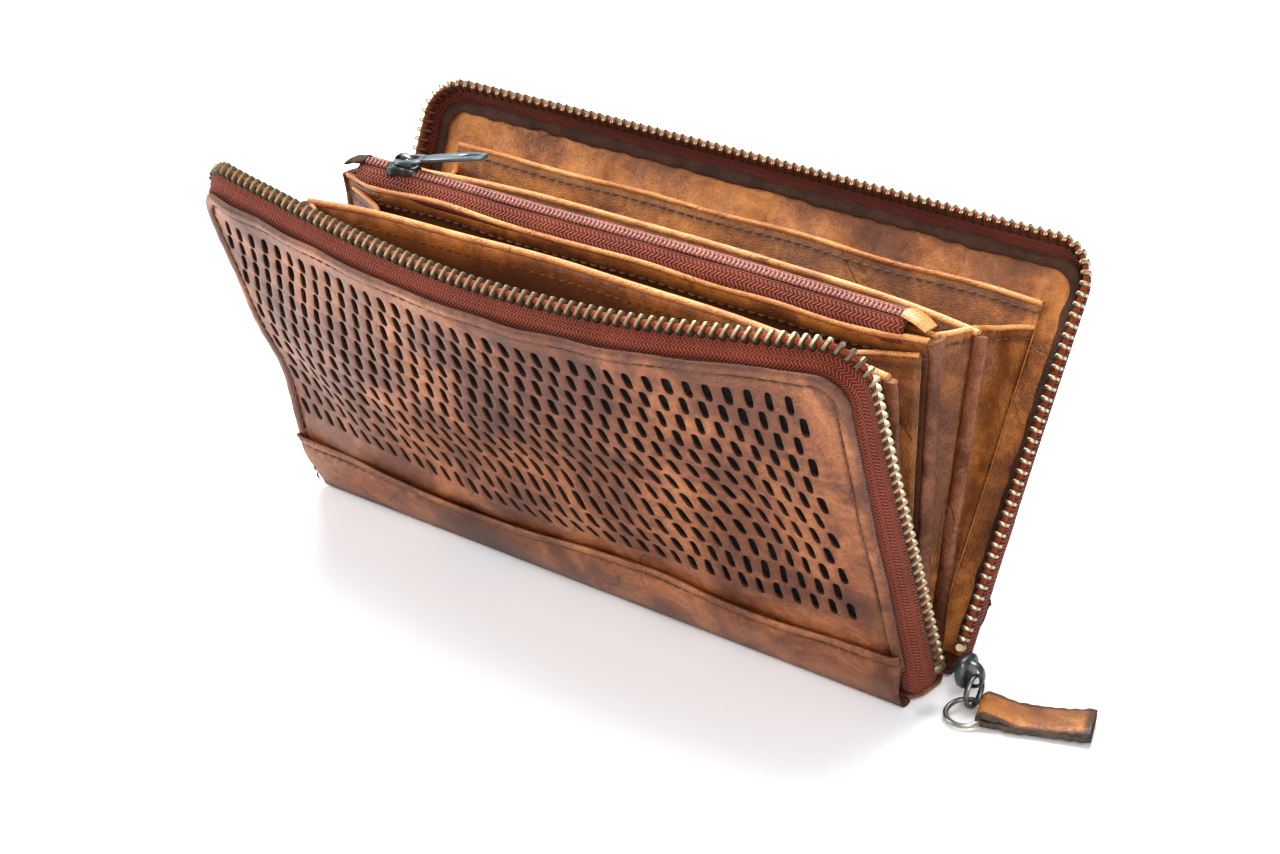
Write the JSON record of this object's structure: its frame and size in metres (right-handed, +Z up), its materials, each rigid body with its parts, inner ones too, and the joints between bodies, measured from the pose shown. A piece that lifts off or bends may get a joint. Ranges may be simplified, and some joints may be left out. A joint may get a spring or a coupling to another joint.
{
  "type": "zip around wallet",
  "caption": "Long leather wallet standing open on its spine, with a zip round three sides, a perforated cover, fanned dividers and a zipped coin pocket.",
  "frame": {"origin": "centre of the spine's flat underside, on the surface the wallet stands on", "axes": "+X along the wallet to the end with the main slider, +Y from the front cover to the back cover, +Z up"},
  "size_m": [0.2338, 0.107, 0.1026],
  "materials": {
    "outer_leather": "waxed pull-up leather, perforated, tan brown with mauve bloom",
    "inner_leather": "smooth golden tan leather with darker creases",
    "dark_leather": "raw dark brown edge",
    "zip_tape": "woven red brown zip tape",
    "brass_teeth": "antique brass",
    "nylon_coil": "dyed nylon coil",
    "gunmetal": "dark plated metal",
    "fibre_board": "stiffening fibre board"
  },
  "bodies": {
    "spine": {"coin_pocket_back_wall": "inner_leather", "coin_pocket_front_wall": "inner_leather", "coin_zip_coil": "nylon_coil", "coin_zip_end_tab_left": "inner_leather", "coin_zip_end_tab_right": "inner_leather", "coin_zip_tape_back": "zip_tape", "coin_zip_tape_front": "zip_tape", "gusset_inner_back_left": "inner_leather", "gusset_inner_back_right": "inner_leather", "gusset_inner_front_left": "inner_leather", "gusset_inner_front_right": "inner_leather", "gusset_outer_back_left": "inner_leather", "gusset_outer_back_right": "inner_leather", "gusset_outer_front_left": "inner_leather", "gusset_outer_front_right": "inner_leather", "spine_board": "fibre_board", "spine_leather": "outer_leather", "spine_lining": "inner_leather"},
    "front_divider": {"front_divider": "inner_leather"},
    "front_cover": {"front_base_band": "outer_leather", "front_board": "fibre_board", "front_edge_binding": "dark_leather", "front_lining": "inner_leather", "front_outer_panel": "outer_leather", "front_slip_pocket": "inner_leather", "front_zip_stop_left": "brass_teeth", "front_zip_stop_right": "brass_teeth", "front_zip_tape": "zip_tape", "front_zip_teeth": "brass_teeth"},
    "back_divider": {"back_divider": "inner_leather"},
    "back_cover": {"back_base_band": "outer_leather", "back_board": "fibre_board", "back_edge_binding": "dark_leather", "back_lining": "inner_leather", "back_outer_panel": "outer_leather", "back_slip_pocket": "inner_leather", "back_zip_stop_left": "brass_teeth", "back_zip_stop_right": "brass_teeth", "back_zip_tape": "zip_tape", "back_zip_teeth": "brass_teeth"},
    "main_slider": {"main_slider": "gunmetal"},
    "pull_link": {"pull_link": "gunmetal"},
    "pull_ring": {"pull_ring": "gunmetal"},
    "pull_tab": {"pull_tab": "inner_leather"},
    "coin_slider": {"coin_slider": "gunmetal"},
    "coin_puller": {"coin_puller": "gunmetal"}
  },
  "joints": [
    {"name": "front_divider_hinge", "type": "hinge", "parent": "spine", "child": "front_divider", "pos_m": [0, -0.0095, 0.0025], "axis": [1, 0, 0], "range_deg": [-10.4, 2.3], "deforming": ["gusset_inner_front_left", "gusset_inner_front_right"]},
    {"name": "front_cover_hinge", "type": "hinge", "parent": "front_divider", "child": "front_cover", "pos_m": [0, -0.0095, 0.0025], "axis": [1, 0, 0], "range_deg": [-12, 2.5], "deforming": ["gusset_outer_front_left", "gusset_outer_front_right"]},
    {"name": "back_divider_hinge", "type": "hinge", "parent": "spine", "child": "back_divider", "pos_m": [0, 0.0095, 0.0025], "axis": [-1, 0, 0], "range_deg": [-10.9, 0.1], "deforming": ["gusset_inner_back_left", "gusset_inner_back_right"]},
    {"name": "back_cover_hinge", "type": "hinge", "parent": "back_divider", "child": "back_cover", "pos_m": [0, 0.0095, 0.0025], "axis": [-1, 0, 0], "range_deg": [-20, 0], "deforming": ["gusset_outer_back_left", "gusset_outer_back_right"]},
    {"name": "main_slider_travel", "type": "slide", "parent": "spine", "child": "main_slider", "axis": [0, 0, 1], "range_m": [0, 0.0741]},
    {"name": "pull_link_swing", "type": "hinge", "parent": "main_slider", "child": "pull_link", "pos_m": [0.1044, 0, 0.0082], "axis": [0, -1, 0], "range_deg": [0, 40]},
    {"name": "pull_ring_swing", "type": "hinge", "parent": "pull_link", "child": "pull_ring", "pos_m": [0.10461, -0.00251, 0.00146], "axis": [0, -0.9371, 0.3489], "range_deg": [-12, 30]},
    {"name": "pull_tab_swing", "type": "hinge", "parent": "pull_ring", "child": "pull_tab", "pos_m": [0.10901, -0.00313, 0.00268], "axis": [-0.7071, 0.6917, 0.147], "range_deg": [-50, 40]},
    {"name": "coin_slider_travel", "type": "slide", "parent": "spine", "child": "coin_slider", "axis": [1, 0, 0], "range_m": [-0.006, 0.145]},
    {"name": "coin_puller_swing", "type": "hinge", "parent": "coin_slider", "child": "coin_puller", "pos_m": [-0.07, 0, 0.09355], "axis": [0, -1, 0], "range_deg": [-6, 160]}
  ],
  "couplings": [
    {"joint": "front_divider_hinge", "follows": "front_cover_hinge", "ratio": 0.85833},
    {"joint": "back_divider_hinge", "follows": "back_cover_hinge", "ratio": 0.54},
    {"joint": "main_slider_travel", "follows": "back_cover_hinge", "m_per_rad": -0.21228}
  ]
}
